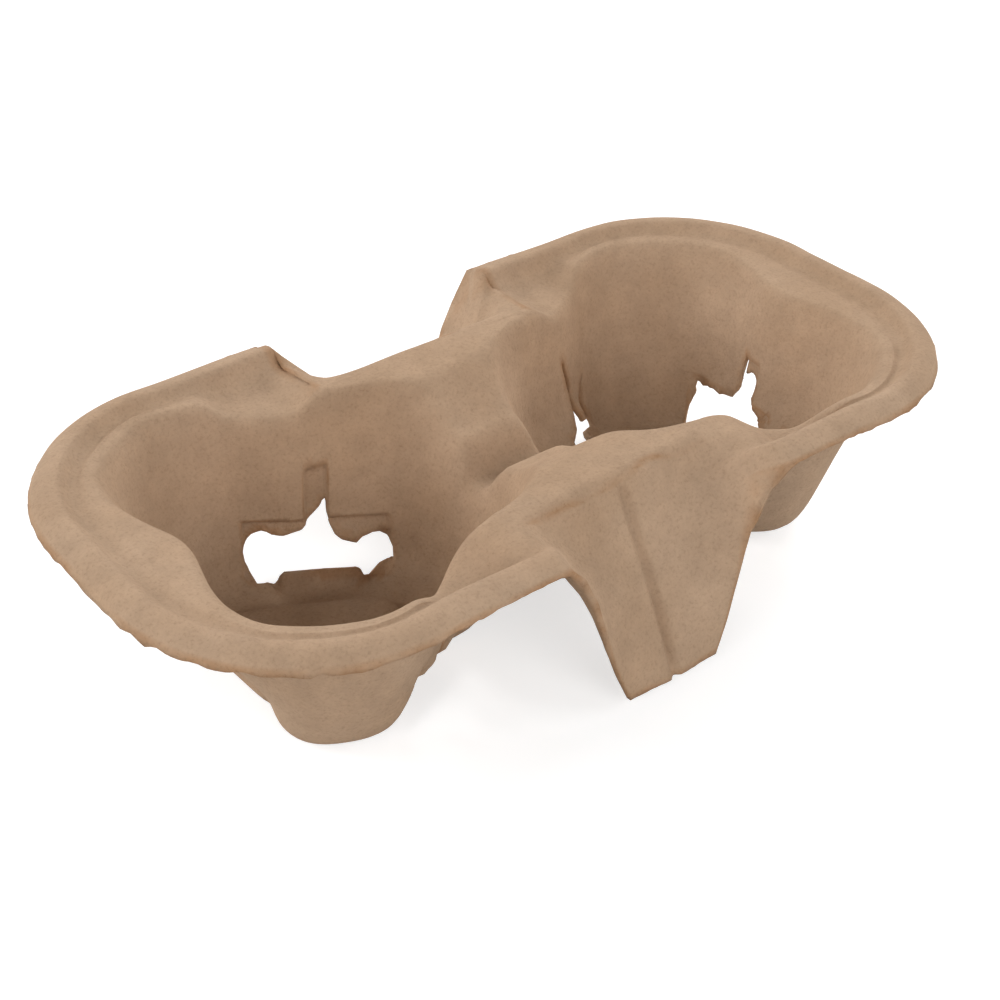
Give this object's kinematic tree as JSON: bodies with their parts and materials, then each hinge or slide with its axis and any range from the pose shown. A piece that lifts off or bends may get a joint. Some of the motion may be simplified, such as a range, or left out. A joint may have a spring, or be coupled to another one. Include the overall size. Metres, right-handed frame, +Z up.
{
  "type": "cup carrier",
  "caption": "Moulded pulp tray that carries two drinks cups side by side, with slotted wells, a stepped bridge and folded legs at its middle.",
  "frame": {"origin": "centre of the tray's length and width, on the surface that its feet stand on", "axes": "+X along the tray through both wells, +Y across it, +Z up out of the wells"},
  "size_m": [0.21, 0.1072, 0.045],
  "materials": {
    "pulp": "matt moulded pulp fibre"
  },
  "bodies": {
    "root": {"cup_carrier": "pulp"}
  },
  "joints": []
}
